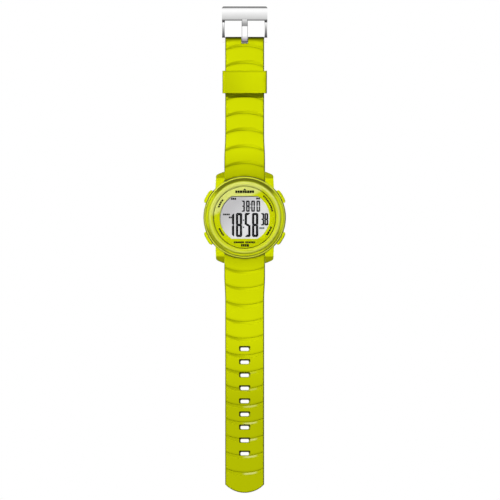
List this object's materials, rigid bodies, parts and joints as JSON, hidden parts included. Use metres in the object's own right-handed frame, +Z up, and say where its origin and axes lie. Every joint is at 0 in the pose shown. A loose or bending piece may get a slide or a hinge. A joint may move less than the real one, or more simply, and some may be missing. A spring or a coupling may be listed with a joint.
{
  "type": "digital sports wristwatch",
  "caption": "Round digital wristwatch in lime resin with side buttons, clipped-round display, ribbed two-piece strap, keeper loop and tang buckle, laid out flat.",
  "frame": {"origin": "centre of the caseback's outer face, on which the watch rests", "axes": "+Z up through the lens, +Y along the strap towards the buckle (12 o'clock), +X towards 3 o'clock"},
  "size_m": [0.0428, 0.2527, 0.0126],
  "materials": {
    "case_resin": "semi-gloss lime resin",
    "bezel_resin": "gloss lime resin",
    "button_resin": "semi-gloss lime resin",
    "strap_resin": "soft satin lime resin",
    "keeper_resin": "soft satin lime resin",
    "dial_print": "lime printed dial ring",
    "lens_glass": "clear mineral glass",
    "lcd_glass": "silver-grey liquid crystal panel",
    "seal_rubber": "black rubber",
    "diffuser_plastic": "white diffuser",
    "module_plastic": "black moulding",
    "board_laminate": "green circuit board",
    "insulator_film": "amber insulating film",
    "caseback_steel": "brushed stainless steel",
    "cell_steel": "nickel-plated steel",
    "spring_steel": "spring steel",
    "contact_brass": "plated brass",
    "bar_steel": "stainless steel",
    "buckle_steel": "polished stainless steel"
  },
  "bodies": {
    "case": {"case_body": "case_resin", "bezel_ring": "bezel_resin", "lens": "lens_glass", "lens_gasket": "seal_rubber", "dial_plate": "dial_print", "lcd_panel": "lcd_glass", "backlight_panel": "diffuser_plastic", "backlight_led": "diffuser_plastic", "zebra_strip_upper": "seal_rubber", "zebra_strip_lower": "seal_rubber", "module_frame": "module_plastic", "circuit_board": "board_laminate", "driver_chip": "module_plastic", "quartz_crystal": "cell_steel", "battery": "cell_steel", "battery_clip": "spring_steel", "insulator_sheet": "insulator_film", "buzzer_disc": "contact_brass", "buzzer_spring": "spring_steel", "caseback_gasket": "seal_rubber", "caseback": "caseback_steel", "caseback_screw_1": "caseback_steel", "caseback_screw_2": "caseback_steel", "caseback_screw_3": "caseback_steel", "caseback_screw_4": "caseback_steel", "button_contact_upper_right": "contact_brass", "button_contact_upper_left": "contact_brass", "button_contact_lower_left": "contact_brass", "button_contact_lower_right": "contact_brass", "button_spring_upper_right": "spring_steel", "button_spring_upper_left": "spring_steel", "button_spring_lower_left": "spring_steel", "button_spring_lower_right": "spring_steel", "spring_bar_tube_upper": "bar_steel", "spring_bar_tube_lower": "bar_steel", "spring_bar_coil_upper": "spring_steel", "spring_bar_coil_lower": "spring_steel"},
    "buckle_strap": {"strap_buckle_half": "strap_resin", "buckle_pin": "bar_steel"},
    "tail_strap": {"strap_tail_half": "strap_resin"},
    "keeper": {"keeper_loop": "keeper_resin"},
    "buckle": {"buckle_frame": "buckle_steel"},
    "tongue": {"buckle_tongue": "buckle_steel"},
    "button_upper_right": {"button_upper_right": "button_resin", "button_o_ring_upper_right": "seal_rubber", "button_clip_upper_right": "spring_steel"},
    "button_upper_left": {"button_upper_left": "button_resin", "button_o_ring_upper_left": "seal_rubber", "button_clip_upper_left": "spring_steel"},
    "button_lower_left": {"button_lower_left": "button_resin", "button_o_ring_lower_left": "seal_rubber", "button_clip_lower_left": "spring_steel"},
    "button_lower_right": {"button_lower_right": "button_resin", "button_o_ring_lower_right": "seal_rubber", "button_clip_lower_right": "spring_steel"},
    "bar_tip_upper_right": {"spring_bar_tip_upper_right": "bar_steel"},
    "bar_tip_upper_left": {"spring_bar_tip_upper_left": "bar_steel"},
    "bar_tip_lower_right": {"spring_bar_tip_lower_right": "bar_steel"},
    "bar_tip_lower_left": {"spring_bar_tip_lower_left": "bar_steel"}
  },
  "joints": [
    {"name": "press_upper_right", "type": "slide", "parent": "case", "child": "button_upper_right", "axis": [-0.866, -0.5, 0], "range_m": [0, 0.0008], "stiffness_N_per_m": 400, "deforming": ["button_spring_upper_right"]},
    {"name": "press_upper_left", "type": "slide", "parent": "case", "child": "button_upper_left", "axis": [0.866, -0.5, 0], "range_m": [0, 0.0008], "stiffness_N_per_m": 400, "deforming": ["button_spring_upper_left"]},
    {"name": "press_lower_left", "type": "slide", "parent": "case", "child": "button_lower_left", "axis": [0.866, 0.5, 0], "range_m": [0, 0.0008], "stiffness_N_per_m": 400, "deforming": ["button_spring_lower_left"]},
    {"name": "press_lower_right", "type": "slide", "parent": "case", "child": "button_lower_right", "axis": [-0.866, 0.5, 0], "range_m": [0, 0.0008], "stiffness_N_per_m": 400, "deforming": ["button_spring_lower_right"]},
    {"name": "strap_hinge_upper", "type": "hinge", "parent": "case", "child": "buckle_strap", "pos_m": [0, 0.0209, 0.0044], "axis": [1, 0, 0], "range_deg": [-75, 15]},
    {"name": "strap_hinge_lower", "type": "hinge", "parent": "case", "child": "tail_strap", "pos_m": [0, -0.0209, 0.0044], "axis": [-1, 0, 0], "range_deg": [-75, 15]},
    {"name": "keeper_slide", "type": "slide", "parent": "buckle_strap", "child": "keeper", "axis": [0, 1, 0], "range_m": [-0.018, 0.01]},
    {"name": "buckle_hinge", "type": "hinge", "parent": "buckle_strap", "child": "buckle", "pos_m": [0, 0.0921, 0.0027], "axis": [1, 0, 0], "range_deg": [-70, 20]},
    {"name": "tongue_hinge", "type": "hinge", "parent": "buckle", "child": "tongue", "pos_m": [0, 0.0921, 0.0027], "axis": [1, 0, 0], "range_deg": [0, 75]},
    {"name": "tip_upper_right", "type": "slide", "parent": "case", "child": "bar_tip_upper_right", "axis": [-1, 0, 0], "range_m": [0, 0.0011], "stiffness_N_per_m": 400, "deforming": ["spring_bar_coil_upper"]},
    {"name": "tip_upper_left", "type": "slide", "parent": "case", "child": "bar_tip_upper_left", "axis": [1, 0, 0], "range_m": [0, 0.0011], "stiffness_N_per_m": 400},
    {"name": "tip_lower_right", "type": "slide", "parent": "case", "child": "bar_tip_lower_right", "axis": [-1, 0, 0], "range_m": [0, 0.0011], "stiffness_N_per_m": 400, "deforming": ["spring_bar_coil_lower"]},
    {"name": "tip_lower_left", "type": "slide", "parent": "case", "child": "bar_tip_lower_left", "axis": [1, 0, 0], "range_m": [0, 0.0011], "stiffness_N_per_m": 400}
  ]
}
